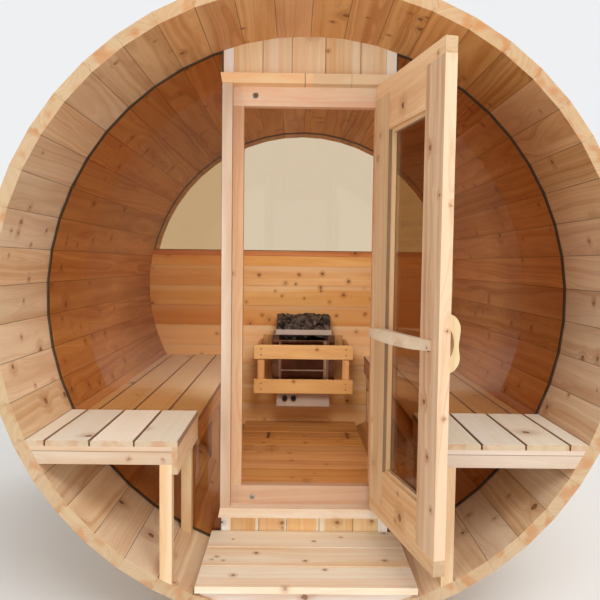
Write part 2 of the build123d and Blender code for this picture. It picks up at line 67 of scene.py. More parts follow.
def add(tree, kind, inputs=(), **settings):
    """A new node in a tree."""
    made = tree.nodes.new(kind)
    for key, value in settings.items():
        setattr(made, key, value)
    for key, value in dict(inputs).items():
        feed(made.inputs[key], value)
    return made


def fed(kind, inputs, **settings):
    """What a new node gives out, in the tree of the first socket among its inputs."""
    tree = next(value.id_data for value in inputs.values() if isinstance(value, bpy.types.NodeSocket))
    return add(tree, kind, inputs, **settings).outputs


def maths(operation, *values, clamp=False):
    return fed("ShaderNodeMath", dict(enumerate(values)), operation=operation, use_clamp=clamp)[0]


def plus(*values):
    return maths("ADD", *values)


def minus(*values):
    return maths("SUBTRACT", *values)


def times(*values):
    return maths("MULTIPLY", *values)


def line(value, slope, start):
    """The value times the slope, and the start on top."""
    return maths("MULTIPLY_ADD", value, slope, start)


def absolute(value):
    return maths("ABSOLUTE", value)


def vector_maths(operation, *values):
    made = fed("ShaderNodeVectorMath", dict(enumerate(values)), operation=operation)
    return made["Value" if operation in ("DOT_PRODUCT", "LENGTH", "DISTANCE") else "Vector"]


def stretched(vector, *steps):
    return vector_maths("MULTIPLY", vector, steps)


def parts(vector):
    made = fed("ShaderNodeSeparateXYZ", {0: vector})
    return made[0], made[1], made[2]


def point(*values):
    return fed("ShaderNodeCombineXYZ", dict(enumerate(values)))[0]


def fade(value, start, end, low=0.0, high=1.0):
    """Goes smoothly from low, where value is start, to high, where it is end."""
    given = {"Value": value, "From Min": start, "From Max": end, "To Min": low, "To Max": high}
    return fed("ShaderNodeMapRange", given, interpolation_type="SMOOTHSTEP")[0]


def blend(share, first, second):
    return fed("ShaderNodeMix", {0: share, 6: first, 7: second}, data_type="RGBA")[2]


def noise(place, scale, detail=2.0, roughness=0.5, dimensions="3D"):
    given = {"Scale": scale, "Detail": detail, "Roughness": roughness}
    given["W" if dimensions == "1D" else "Vector"] = place
    return fed("ShaderNodeTexNoise", given, noise_dimensions=dimensions)


def new_group(name, inputs, outputs, tree_kind="ShaderNodeTree"):
    """A node group, what it is given and what it gives out."""
    tree = bpy.data.node_groups.new(name, tree_kind)
    for sockets, way in ((inputs, "INPUT"), (outputs, "OUTPUT")):
        for socket, kind in sockets.items():
            tree.interface.new_socket(socket, in_out=way, socket_type=f"NodeSocket{kind}")
    return tree, add(tree, "NodeGroupInput").outputs, add(tree, "NodeGroupOutput").inputs


def tone(code):
    """A colour written as six hexadecimal digits, as the linear value that the shaders take."""
    channels = [int(code[at:at + 2], 16) / 255 for at in (0, 2, 4)]
    return (*[c / 12.92 if c <= 0.04045 else ((c + 0.055) / 1.055) ** 2.4 for c in channels], 1.0)


def cedar_figure():
    """Growth rings, knots, sapwood and fibres. Place is metres from a board's middle: along the grain,
    across the face and through the thickness. Board is that board's number."""
    tree, given, out = new_group(
        "cedar figure",
        {"Place": "Vector", "Board": "Float", "Sap": "Color", "Heart": "Color", "Knots": "Float",
         "Rings": "Float", "End": "Float"},
        {"Color": "Color", "Roughness": "Float", "Height": "Float"})
    chance = fed("ShaderNodeTexWhiteNoise", {"W": given["Board"]}, noise_dimensions="1D")
    red, green, blue = parts(chance["Color"])
    spot = vector_maths("ADD", given["Place"], vector_maths("MULTIPLY", chance["Color"], (41.0, 17.0, 9.0)))
    along, across, deep = parts(given["Place"])

    # Knots lie in the face, and the grain swings round each of them.
    cells = 6.4
    knot_cell = fed("ShaderNodeTexVoronoi", {"Vector": spot, "Scale": cells, "Randomness": 1.0},
                    voronoi_dimensions="2D")
    knot_there, knot_size, knot_dark = parts(knot_cell["Color"])
    away = maths("DIVIDE", knot_cell["Distance"], cells)
    size = line(maths("POWER", knot_size, 2.0), 0.010, 0.004)
    ragged = noise(spot, 160.0, 1.0)[0]
    reach = maths("DIVIDE", away, times(size, line(ragged, 0.9, 0.55)))
    knotty = times(given["Knots"], line(red, 1.3, 0.35))
    there = times(maths("LESS_THAN", knot_there, knotty), fade(given["End"], 0.0, 1.0, 1.0, 0.0))
    knot = times(there, fade(reach, 0.75, 1.1, 1.0, 0.0))
    swing = times(there, fade(reach, 0.4, 5.5, 1.0, 0.0))

    # The rings: distance from a pith that lies beside the board and wanders along it.
    wander = noise(stretched(spot, 1.5, 4.0, 4.0), 1.0)["Color"]
    _, wander_across, wander_deep = parts(vector_maths("SUBTRACT", wander, (0.5, 0.5, 0.5)))
    lean = times(along, line(blue, 0.08, -0.04))
    side = plus(across, line(red, 0.12, -0.06))
    side = plus(plus(side, lean), times(wander_across, 0.05))
    depth = plus(deep, line(green, 0.22, -0.11))
    depth = plus(depth, times(wander_deep, 0.06))
    ring = vector_maths("LENGTH", point(side, depth, 0.0))
    ring = plus(ring, times(swing, 0.022))
    ring = line(chance["Value"], 9.0, ring)
    bands = fade(noise(ring, 62.0, 4.0, 0.62, "1D")[0], 0.26, 0.74)
    late = fade(noise(ring, 430.0, 1.0, 0.5, "1D")[0], 0.5, 0.72)

    # Streaks of sapwood and heartwood, and fine fibres along the grain.
    streaks = fade(noise(stretched(spot, 0.9, 11.0, 11.0), 1.0)[0], 0.36, 0.66)
    clouds = noise(stretched(spot, 4.0, 14.0, 14.0), 1.0, 3.0, 0.6)[0]
    fibres = noise(stretched(spot, 14.0, 620.0, 620.0), 1.0, 1.0)[0]
    share = line(minus(bands, 0.5), given["Rings"], 0.40)
    share = plus(share, times(minus(streaks, 0.5), 0.45))
    share = plus(share, times(minus(clouds, 0.5), 0.6))
    share = plus(share, times(times(late, given["Rings"]), 0.3))
    share = maths("ADD", share, line(chance["Value"], 0.4, -0.2), clamp=True)
    wood = blend(share, given["Sap"], given["Heart"])
    light = times(line(blue, 0.16, 0.92), line(fibres, 0.14, 0.93))
    wood = fed("ShaderNodeHueSaturation", {"Hue": line(red, 0.008, 0.496), "Color": wood, "Value": light,
                                           "Saturation": line(green, 0.14, 0.93)})[0]

    # Sawn ends are paler, with honey patches and sharper rings.
    sawn = blend(times(late, 0.45), tone("C2A682"), tone("9E7348"))
    patch = noise(stretched(spot, 1.0, 17.0, 17.0), 1.0, 1.0)[0]
    sawn = blend(fade(patch, 0.48, 0.68, 0.0, 0.75), sawn, tone("B8743E"))
    wood = blend(times(given["End"], 0.8), wood, sawn)

    # The knots last: a warm halo, a brown heart and a nearly black rim.
    wood = blend(times(swing, 0.38), wood, tone("A8642C"))
    heart = blend(fade(reach, 0.3, 0.85), tone("8A4E2A"), tone("3A1C0E"))
    heart = blend(times(knot_dark, 0.6), heart, tone("A2683C"))
    feed(out["Color"], blend(times(knot, 0.9), wood, heart))
    feed(out["Roughness"], line(knot, -0.14, line(fibres, 0.16, 0.52)))
    feed(out["Height"], line(knot, -0.6, line(late, -0.35, times(fibres, 0.5))))
    return tree


def stave_places():
    """Says which stave a point is in, where it is in that stave, and whether it is at a joint."""
    tree, given, out = new_group("stave places", {"Vector": "Vector"},
                                 {"Place": "Vector", "Board": "Float", "Joint": "Float"})
    x, y, z = parts(given["Vector"])
    up = minus(z, axis_z)
    wedge = maths("FLOOR", maths("DIVIDE", maths("ARCTAN2", x, up), stave_turn))
    joint = times(wedge, stave_turn)
    bead_x = times(maths("SINE", joint), stave_middle)
    bead_up = times(maths("COSINE", joint), stave_middle)
    from_bead = vector_maths("DISTANCE", point(x, up, 0.0), point(bead_x, bead_up, 0.0))
    number = minus(wedge, maths("LESS_THAN", from_bead, bead_radius))
    middle = times(plus(number, 0.5), stave_turn)
    sine, cosine = maths("SINE", middle), maths("COSINE", middle)
    across = minus(times(x, cosine), times(up, sine))
    deep = plus(times(x, sine), times(up, cosine))
    feed(out["Place"], point(y, across, minus(deep, stave_middle)))
    feed(out["Board"], plus(number, 100.0))
    edge = minus(times(deep, math.tan(stave_turn / 2)), absolute(across))
    feed(out["Joint"], fade(absolute(edge), 0.0004, 0.0018, 1.0, 0.0))
    return tree


cedar = cedar_figure()
staved = stave_places()
stave_knots = (
    (-0.984, -1.091, 1.391, 0.0096), (-0.993, -1.149, 1.358, 0.0064), (-0.989, -0.856, 1.373, 0.007),
    (-1.002, -0.966, 1.316, 0.0077), (-1.009, -1.13, 1.278, 0.0051), (-0.994, -0.615, 1.355, 0.0058),
    (-0.889, -1.142, 1.618, 0.0051), (-0.248, -0.928, 2.104, 0.0081), (0.074, -0.934, 2.132, 0.0092),
    (0.192, -1.019, 2.117, 0.006), (0.317, -1.147, 2.085, 0.0081), (0.281, -0.911, 2.096, 0.0074),
    (0.37, -1.159, 2.066, 0.0067), (0.685, -0.823, 1.872, 0.0087), (0.771, -1.106, 1.784, 0.0054))


def new_material(name):
    """An empty material, the socket of its surface, and the places and normals of its points."""
    material = bpy.data.materials.new(name)
    material.use_nodes = True
    tree = material.node_tree
    tree.nodes.clear()
    surface = add(tree, "ShaderNodeOutputMaterial").inputs["Surface"]
    return material, surface, add(tree, "ShaderNodeTexCoord").outputs


def solid(surface, colour, roughness, height, strength, depth, more=()):
    """The shader of anything that isn't glass, with height as its fine relief."""
    bump = fed("ShaderNodeBump", {"Strength": strength, "Distance": depth, "Height": height})[0]
    feed(surface, fed("ShaderNodeBsdfPrincipled", {"Base Color": colour, "Roughness": roughness,
                                                   "Normal": bump, **dict(more)})[0])


def bare_cedar(surface, colour, figure):
    solid(surface, colour, figure["Roughness"], figure["Height"], 0.5, 0.0007, {"Specular IOR Level": 0.3})


def figured(place, *values):
    """The figure of the cedar at a place, with the other inputs of the group in their order."""
    given = dict(zip(("Board", "Sap", "Heart", "Knots", "Rings", "End"), values))
    return fed("ShaderNodeGroup", {"Place": place, **given}, node_tree=cedar)


def across_end(normal, axis):
    """Whether a face lies square to the grain."""
    return maths("GREATER_THAN", absolute(parts(normal)[axis]), 0.7)


def placed_knots(vector, colour, knots):
    """Paints single knots over a wood's colour, each given as its place and its radius."""
    ragged = noise(vector, 95.0)["Color"]
    near = vector_maths("SUBTRACT", vector, (0.0075, 0.0075, 0.0075))
    near = vector_maths("MULTIPLY_ADD", ragged, (0.015, 0.015, 0.015), near)
    strength = fade(noise(vector, 9.0, 1.0)[0], 0.35, 0.6, 0.45, 0.9)
    least = 9.0
    for *place, radius in knots:
        reach = maths("DIVIDE", vector_maths("DISTANCE", near, tuple(place)), radius)
        least = maths("MINIMUM", reach, least)
    colour = blend(fade(least, 0.6, 3.0, 0.4, 0.0), colour, tone("A8642C"))
    heart = blend(fade(least, 0.2, 0.8), tone("96582E"), tone("4A2612"))
    return blend(fade(least, 0.5, 1.05, strength, 0.0), colour, heart)


def stave_cedar():
    material, surface, where = new_material("stave cedar")
    place = fed("ShaderNodeGroup", {"Vector": where["Object"]}, node_tree=staved)
    end = across_end(where["Normal"], 1)

    # Painted shade: the roof, most of all on its right, is painted more orange, and behind the glass the
    # inner faces are painted a darker honey, and brown at the far end of the cabin.
    x, y, z = parts(where["Object"])
    height = fade(line(x, 0.35, z), 1.45, 2.15)
    inner_face = fade(parts(place["Place"])[2], -0.004, 0.004, 1.0, 0.0)
    inside = times(fade(y, -0.79, -0.755, 0.0, 0.8), inner_face)
    far = times(fade(y, -0.3, 0.5, 0.0, 0.7), inside)
    shaded_tones = []
    # The first tone of each pair is the lit one; the roof, honey and brown tones are painted shade.
    for low, roof, honey, brown in (("F0D4B0", "E8B67C", "E8B87C", "B87834"),
                                    ("D2A47A", "C07E42", "C07C42", "8C4E1C")):
        kind = blend(height, tone(low), tone(roof))
        kind = blend(inside, kind, tone(honey))
        shaded_tones.append(blend(far, kind, tone(brown)))
    figure = figured(place["Place"], place["Board"], *shaded_tones, 0.42, 0.6, end)
    shade = times(place["Joint"], fade(end, 0.0, 1.0, 0.75, 0.2))
    colour = placed_knots(where["Object"], figure["Color"], stave_knots)
    colour = blend(shade, colour, tone("4A2610"))
    bare_cedar(surface, colour, figure)
    return material


def dress(material, *names):
    """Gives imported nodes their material."""
    for name in names:
        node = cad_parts[name]
        if not node.material_slots:
            node.data.materials.append(material)
        for slot in node.material_slots:
            slot.material = material


dress(stave_cedar(), "staves_roof", "staves_right_upper", "staves_right_lower", "staves_left_lower",
      "staves_left_upper")

# Boards and trims of the front wall and the doorway, let into the croze or screwed to the posts. Planed
# cedar in several cuts: cream casings, pinkish head board and threshold, orange stops and honey trims.


def board_places():
    """Divides a piece into boards. Start is one board's corner and Pitch the steps from board to board."""
    tree, given, out = new_group(
        "board places", {"Vector": "Vector", "Start": "Vector", "Pitch": "Vector"},
        {"Place": "Vector", "Board": "Float"})
    steps = vector_maths("SUBTRACT", given["Vector"], given["Start"])
    steps = vector_maths("DIVIDE", steps, given["Pitch"])
    cell = vector_maths("FLOOR", steps)
    middle = vector_maths("SUBTRACT", vector_maths("SUBTRACT", steps, cell), (0.5, 0.5, 0.5))
    feed(out["Place"], vector_maths("MULTIPLY", middle, given["Pitch"]))
    feed(out["Board"], vector_maths("DOT_PRODUCT", cell, (17.0, 57.0, 131.0)))
    return tree


boards = board_places()
whole = 40.0
joint_tone = tone("6A3D1E")


def board_cedar(name, sap, heart, grain, number, x=0.0, y=0.0, z=0.0, knots=0.45, rings=0.6,
                both_sides=False, turned=None, marks=(), spots=(), pale_edge=0.0, other=None,
                gap_tone=None, gap_within=9.0):
    """Planed cedar for boards that run along one axis. x, y and z give (start, pitch) where the piece is
    divided along that axis, or the middle of the one board. turned is the (location, rotation) that brings
    the piece square to the axes. marks are dark joints: (axis, place, width). spots are placed knots,
    pale_edge is the share of sapwood on each board's upper edge, and other is a board of another tone, which
    on the door's hinge stile is painted light: (axis, middle, half-width, tone, share). gap_tone is painted
    shade on the faces between slats and on those in a recess, as far from the middle as gap_within."""
    material, surface, where = new_material(name)
    vector, normal = where["Object"], where["Normal"]
    if turned:
        move, turn = turned
        vector = fed("ShaderNodeMapping", {"Vector": vector, "Location": move, "Rotation": turn})[0]
        normal = fed("ShaderNodeMapping", {"Vector": normal, "Rotation": turn})[0]
    side = 0.0
    if both_sides:
        px, py, pz = parts(vector)
        side = maths("SIGN", px)
        vector = point(absolute(px), py, pz)
    divided = [axis if isinstance(axis, tuple) else (axis - whole / 2, whole) for axis in (x, y, z)]
    starts, pitches = zip(*divided)
    place = fed("ShaderNodeGroup", {"Vector": vector, "Start": starts, "Pitch": pitches}, node_tree=boards)
    px, py, pz = parts(place["Place"])
    order = {"X": (px, pz, py), "Y": (py, px, pz), "Z": (pz, px, py)}[grain]
    board = line(side, 7.0, plus(place["Board"], number))
    end = across_end(normal, "XYZ".index(grain))
    figure = figured(point(*order), board, tone(sap), tone(heart), knots, rings, end)
    colour = figure["Color"]
    if pale_edge:
        waves = noise(stretched(vector, 1.3, 0.0, 7.0), 1.0)[0]
        upper = fade(line(waves, 0.06, pz), 0.052, 0.08, 0.0, pale_edge)
        colour = blend(upper, colour, tone("F4D6A8"))
    if other:
        other_axis, at, half, other_tone, share = other
        inside = maths("COMPARE", parts(vector)["XYZ".index(other_axis)], at, half)
        colour = blend(times(inside, share), colour, tone(other_tone))
    if spots:
        colour = placed_knots(where["Object"], colour, spots)
    # Painted shade: the side faces between slats and in the recess round the glass are darkened.
    if gap_tone:
        shaded_side = maths("GREATER_THAN", absolute(parts(normal)[0]), 0.5)
        near = maths("LESS_THAN", absolute(parts(vector)[0]), gap_within)
        colour = blend(times(times(shaded_side, near), 0.8), colour, tone(gap_tone))
    for axis, at, width in marks:
        away = absolute(minus(parts(where["Object"])["XYZ".index(axis)], at))
        colour = blend(fade(away, width / 2, width, 0.7, 0.0), colour, joint_tone)
    bare_cedar(surface, colour, figure)
    return material


def planks(node, *given, **other):
    """Dresses a node in cedar of its own."""
    dress(board_cedar(f"{node} wood".replace("_", " "), *given, **other), node)


board_edges = (-0.18321, -0.07092, 0.0591, 0.19503)


def upright_planks(node, sap, heart, number, strips, spots, strip_share=0.5):
    """The upright boards between the posts, which differ in width. strips are (middle, half-width) of
    sapwood."""
    material, surface, where = new_material(f"{node} wood".replace("_", " "))
    x, y, z = parts(where["Object"])
    board = number
    joint = 0.0
    for edge in board_edges:
        board = plus(maths("GREATER_THAN", x, edge), board)
        near = fade(absolute(minus(x, edge)), 0.0008, 0.002, 1.0, 0.0)
        joint = maths("MAXIMUM", joint, near)
    place = point(z, line(board, -0.12, x), plus(y, 0.76))
    end = across_end(where["Normal"], 2)
    figure = figured(place, board, tone(sap), tone(heart), 0.3, 0.4, end)
    colour = figure["Color"]
    for middle, half in strips:
        inside = fade(absolute(minus(x, middle)), half * 0.5, half * 1.3, strip_share, 0.0)
        colour = blend(inside, colour, tone("FBF0DC"))
    colour = placed_knots(where["Object"], colour, spots)
    colour = blend(times(joint, 0.5), colour, joint_tone)
    bare_cedar(surface, colour, figure)
    dress(material, node)


upright_planks("front_top_boards", "F7E6C4", "EAB882", 3.0, ((-0.14, 0.02), (0.178, 0.012)),
               ((0.067, -0.769, 2.082, 0.0058),))
upright_planks("front_bottom_boards", "F2D8AE", "EDB072", 13.0,
               ((-0.19, 0.008), (-0.075, 0.008), (0.064, 0.017)),
               ((-0.09, -0.769, 0.221, 0.0086), (-0.088, -0.769, 0.201, 0.0051),
                (0.133, -0.769, 0.225, 0.0094), (0.27, -0.769, 0.23, 0.0078)), strip_share=0.9)
post_pair = (-0.62, 0.62)
planks("front_posts", "F9F9F5", "F9E2B9", "Z", 21.0, x=post_pair, y=-0.737)
planks("door_casings", "DFC7B2", "C9A580", "Z", 24.0, x=post_pair, y=-0.791, knots=0.2, rings=0.4)
planks("door_head_trim", "F7DBB2", "F7B67B", "X", 27.0, x=(-1.99, 2.0), y=-0.795, z=1.962, knots=0.3,
       rings=0.35, marks=(("X", -0.0197, 0.0022), ("X", 0.157, 0.001)))
planks("door_sill_trim", "EFE6D4", "E3B98F", "X", 29.0, y=-0.795, z=0.278, knots=0.3, rings=0.35)
planks("door_head_board", "F1DCBE", "F1B390", "X", 31.0, y=-0.75, z=1.903, knots=0.1, rings=0.55)
planks("door_threshold", "DEB998", "C48E68", "X", 33.0, y=-0.75, z=0.337, knots=0.25, rings=0.5)
planks("door_stops", "EAC89E", "DE9C6C", "Z", 35.0, x=(-0.55, 0.55), y=-0.75, knots=0.25, rings=0.5)

# The glass panes and the black rubber that seals them into the croze.
# Bronze-tinted toughened glass, 8 mm thick, with polished faces.


def mixed(share, first, second):
    """One shader, and a share of a second over it."""
    return fed("ShaderNodeMixShader", {0: share, 1: first, 2: second})[0]


def tinted_glass(name, tint):
    """Bronze glass. Lamps and soft light pass straight through it, so that what is behind it is lit."""
    material, surface, where = new_material(name)
    smears = fade(noise(where["Object"], 3.0, 3.0)[0], 0.45, 0.75, 0.0, 0.03)
    glass = fed("ShaderNodeBsdfPrincipled", {"Base Color": tone(tint), "Roughness": smears, "IOR": 1.45,
                                             "Specular IOR Level": 0.9, "Transmission Weight": 1.0})[0]
    clear = add(material.node_tree, "ShaderNodeBsdfTransparent", {"Color": tone(tint)}).outputs[0]
    ray = add(material.node_tree, "ShaderNodeLightPath").outputs
    passing = maths("MAXIMUM", ray["Is Shadow Ray"], ray["Is Diffuse Ray"])
    feed(surface, mixed(passing, glass, clear))
    return material


dress(tinted_glass("bronze glass", "E8D4B6"), "front_glass", "window_glass")
dress(tinted_glass("door glass", "BEA284"), "door_glass")


def mottled(name, first, second, patches, grain, share, rough, relief):
    """A dull material in two tones. patches and grain are (scale, detail) of two noises, share and rough
    fade with the patches, and relief is the (strength, depth) of the grain."""
    material, surface, where = new_material(name)
    patch = noise(where["Object"], *patches)[0]
    colour = blend(fade(patch, *share), tone(first), tone(second))
    solid(surface, colour, fade(patch, *rough), noise(where["Object"], *grain)[0], *relief)
    return material


seal_rubber = mottled("black rubber", "4E4842", "7A7168", (24.0, 3.0), (900.0, 1.0), (0.4, 0.75, 0.0, 0.5),
                      (0.3, 0.8, 0.5, 0.8), (0.3, 0.0002))


def in_scene(name, data):
    """A new object, linked into the scene."""
    made = bpy.data.objects.new(name, data)
    bpy.context.scene.collection.objects.link(made)
    return made


def finished(name, mesh, material, body, replaced=()):
    """A mesh as a piece of the sauna: it rides on its body and gets the material if it has none of its own.
    """
    piece = in_scene(name, mesh)
    if not mesh.materials:
        mesh.materials.append(material)
    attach(piece, body)
    if replaced:
        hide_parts(*replaced)


def shelled(name, sheet, material, body, replaced=()):
    """Makes a bmesh a piece, with its faces turned outward."""
    bmesh.ops.recalc_face_normals(sheet, faces=sheet.faces)
    mesh = bpy.data.meshes.new(name)
    sheet.to_mesh(mesh)
    sheet.free()
    finished(name, mesh, material, body, replaced)


def join_part(sheet, part):
    """Adds one bmesh to another and frees it."""
    held = bpy.data.meshes.new("held")
    part.to_mesh(held)
    part.free()
    sheet.from_mesh(held)
    bpy.data.meshes.remove(held)


def loft(rings, closed=False):
    """Skins a row of equal loops of points. Closed joins the last loop to the first, otherwise the ends are
    capped."""
    shape = bmesh.new()
    rows = [[shape.verts.new(corner) for corner in ring] for ring in rings]
    for row, following in zip(rows, rows[1:] + rows[:1] if closed else rows[1:]):
        for at in range(len(row)):
            shape.faces.new((row[at - 1], row[at], following[at], following[at - 1]))
    if not closed:
        shape.faces.new(rows[0])
        shape.faces.new(rows[-1])
    return shape


def cut_away(shape, place, way):
    """Takes off what lies beyond a plane, where way points, and closes the cut."""
    bmesh.ops.bisect_plane(shape, geom=shape.verts[:] + shape.edges[:] + shape.faces[:], plane_co=place,
                           plane_no=way, clear_outer=True)
    bmesh.ops.holes_fill(shape, edges=[edge for edge in shape.edges if edge.is_boundary], sides=0)


inner_flat = 1.021894
casing_outer = 0.3335
seal_play = 0.0004
round_lip, upright_lip, sill_lip = 0.0042, 0.0062, 0.0045


def seal_sections(seal, pane, into_wood, lip):
    """The seal's two beads, one on each side of the glass: (distance out of the wood, y) round each."""
    seal_low, seal_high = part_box(seal)
    pane_low, pane_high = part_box(pane)
    sections = []
    for edge, glass, way in ((seal_low.y, pane_low.y, -1), (seal_high.y, pane_high.y, 1)):
        edge -= way * 0.0008
        touch = glass + way * 0.0003
        sections.append([(into_wood, edge), (0.0004, edge), (lip, glass + way * 0.006), (lip, touch),
                         (into_wood, touch)])
    return sections


def arc_beads(sheet, seal, pane, edge, outward):
    """The beads in the staves' croze, on the side of a plane that is left when outward is cut away."""
    for section in seal_sections(seal, pane, -0.0094, round_lip):
        rings = []
        for corner in range(stave_count):
            angle = stave_turn * corner
            radii = [(inner_flat - out) / math.cos(stave_turn / 2) for out, _ in section]
            rings.append([(math.sin(angle) * radius, y, axis_z + math.cos(angle) * radius)
                          for radius, (_, y) in zip(radii, section)])
        bead_ring = loft(rings, closed=True)
        cut_away(bead_ring, edge, outward)
        join_part(sheet, bead_ring)


front_seals = bmesh.new()
reach = 0.967
for side in (-1, 1):
    arc_beads(front_seals, "front_glass_seals", "front_glass", (side * (casing_outer + seal_play), 0, 0),
              (-side, 0, 0))
    for section in seal_sections("front_glass_seals", "front_glass", 0.0003, upright_lip):
        join_part(front_seals, loft([[(side * (casing_outer + out), y, axis_z + end) for out, y in section]
                                     for end in (-reach, reach)]))
shelled("slim_front_seals", front_seals, seal_rubber, "sauna", ["front_glass_seals"])

window_seals = bmesh.new()
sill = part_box("window_seal")[0].z
reach = 0.9935
arc_beads(window_seals, "window_seal", "window_glass", (0, 0, sill + seal_play), (0, 0, -1))
for section in seal_sections("window_seal", "window_glass", 0.0003, sill_lip):
    join_part(window_seals, loft([[(end, y, sill + out) for out, y in section] for end in (-reach, reach)]))
shelled("slim_window_seals", window_seals, seal_rubber, "sauna", ["window_seal"])

# The door leaf. Two stiles between full-width cap rails, two rails round the glass, and slim beads that
# hold the pane. Tan knotty cedar with a very pale outer edge, the push bar and the pull handle of
# aspen-pale wood.
pin = Vector((0.292, -0.8187, 0.0))
open_turn = math.radians(103)
closing = Matrix.Rotation(-open_turn, 3, "Z")
leaf_turn = (tuple(pin - closing @ pin), (0.0, 0.0, -open_turn))
leaf_pair = (-0.577, 0.577)

# Painted light: the hinge stile is painted paler where it stands in shade near the wall. The sides of the
# recess round the glass get painted shade.
planks("door_stiles", "EDCDAA", "C28C5C", "Z", 41.0, turned=leaf_turn, x=leaf_pair, y=-0.795, knots=0.4,
       rings=0.7, gap_tone="6E5442", gap_within=0.27, other=("X", 0.2215, 0.068, "FFE0B0", 0.38),
       spots=((0.406, -1.389, 1.066, 0.005), (0.403, -1.389, 0.8, 0.006), (0.406, -1.389, 1.44, 0.004)))
planks("door_rails", "F3D1A3", "D49D6C", "X", 44.0, turned=leaf_turn, y=-0.795, z=(0.006, 0.34), knots=0.2,
       rings=0.35, spots=((0.316, -1.11, 0.468, 0.006), (0.311, -1.091, 0.365, 0.006),
                          (0.35, -1.26, 0.408, 0.004), (0.37, -1.344, 1.894, 0.006)))
planks("door_glazing_beads", "F0D0A4", "DCAE7C", "Z", 47.0, turned=leaf_turn, x=leaf_pair, y=-0.79,
       knots=0.0, rings=0.3)
planks("door_push_bar", "F8E8CC", "E4BE8E", "X", 49.0, turned=leaf_turn, y=-0.75, z=1.011, knots=0.5,
       rings=0.5)
planks("door_pull_handle", "E3D0A6", "D2AF77", "Z", 52.0, turned=leaf_turn, x=-0.243, y=-0.85, knots=0.4,
       rings=0.5)

# The floor: boards across the barrel with eased edges, a fascia under the front board, runners below.
floor_z = 0.191
porch_knots = (
    (-0.278, -0.856, 0.0041), (-0.181, -0.975, 0.0075), (-0.323, -1.006, 0.0061), (-0.297, -1.034, 0.0054),
    (-0.34, -1.027, 0.0048), (-0.001, -1.034, 0.0068), (0.035, -0.869, 0.0061), (0.143, -0.828, 0.0054),
    (0.317, -0.789, 0.0075), (-0.251, -1.144, 0.0088), (0.067, -1.1, 0.0068), (0.289, -1.027, 0.0075))
cabin_knots = (
    (-0.029, 0.921, 0.008), (0.022, 0.655, 0.009), (-0.116, 0.581, 0.006), (-0.291, 0.444, 0.008),
    (-0.224, 0.496, 0.01), (0.026, 0.504, 0.011), (0.221, 0.542, 0.008), (-0.243, 0.308, 0.009),
    (-0.066, 0.293, 0.01), (-0.055, 0.154, 0.011), (0.133, 0.093, 0.008), (-0.05, -0.129, 0.008),
    (0.062, -0.062, 0.005), (0.0, -0.213, 0.006))
planks("porch_floor_boards", "F9EDD6", "ECC49A", "X", 61.0, y=(-1.229, 0.152667), z=0.18, knots=0.1,
       rings=0.35,
       spots=[(x, y, floor_z, size) for x, y, size in porch_knots] + [(-0.071, -1.227, 0.187, 0.009)])
planks("cabin_floor_boards", "E7AC6A", "C37E3D", "X", 77.0, y=(-0.7067, 0.145475), z=0.18, knots=0.15,
       rings=0.3, spots=[(x, y, floor_z, size) for x, y, size in cabin_knots])
planks("porch_floor_fascia", "F0E7DC", "E4BA98", "X", 91.0, y=-1.186, z=0.12, knots=0.1, rings=0.4,
       spots=((-0.004, -1.205, 0.148, 0.013),))
planks("floor_runners", "E2BE92", "B98655", "Y", 93.0, x=(-0.45, 0.3), z=0.12)

# The benches. Slats along the barrel on battens and rails, an apron and legs at the open edge.
for place, number, top in (("porch", 101.0, 0.675), ("cabin", 141.0, 0.642)):
    # The side faces between the slats get painted shade.
    planks(f"{place}_bench_slats", "FFF8E6", "F7EAD0", "Y", number, x=(0.425, 0.146), z=top - 0.01,
           both_sides=True, knots=0.15, rings=0.35, gap_tone="8E5A30")
    planks(f"{place}_bench_rails", "E1CDB9", "CDAA88", "X", number + 11.0, y=(-1.3, 0.3),
           z=(top - 0.078, 0.043), both_sides=True, knots=0.2, rings=0.3,
           marks=(("Z", top - 0.035, 0.0016),),
           spots=((-0.588, -1.219, 0.616, 0.006), (-0.476, -1.219, 0.613, 0.005)))
    planks(f"{place}_bench_legs", "E7C9A0", "D39F66", "Z", number + 17.0, x=0.467, y=(-1.3, 0.3),
           both_sides=True, knots=0.3, rings=0.4)
    planks(f"{place}_bench_aprons", "F8D8B3", "D59B68", "Y", number + 23.0, x=0.437, z=top - 0.065,
           both_sides=True, knots=0.4, rings=0.5)

# The back wall. Boards with a small vee at each joint, let into the croze, and a cap under the window.
back_joint, back_cover = 1.245, 0.134
back_knots = (
    (-0.289, 1.183, 0.01), (-0.019, 1.188, 0.01), (0.138, 1.196, 0.0111), (-0.111, 1.129, 0.01),
    (-0.041, 1.125, 0.0075), (0.315, 1.146, 0.0111), (0.126, 1.103, 0.0111), (0.13, 1.08, 0.008),
    (0.282, 1.054, 0.0121), (-0.18, 1.076, 0.0065), (-0.133, 1.043, 0.0075), (0.018, 1.029, 0.0065),
    (0.465, 1.027, 0.007), (0.189, 1.006, 0.009), (-0.373, 1.0, 0.008), (-0.266, 0.912, 0.01),
    (0.237, 0.914, 0.009), (0.428, 0.924, 0.009))
back_cedar = board_cedar(
    "back boards wood", "F7CE90", "E3A260", "X", 203.0, y=1.06, z=(back_joint - back_cover * 9, back_cover),
    knots=0.25, rings=0.25, pale_edge=0.55, other=("Z", 0.91, 0.067, "C87A40", 0.4),
    spots=[(x, 1.041, z, size) for x, z, size in back_knots])


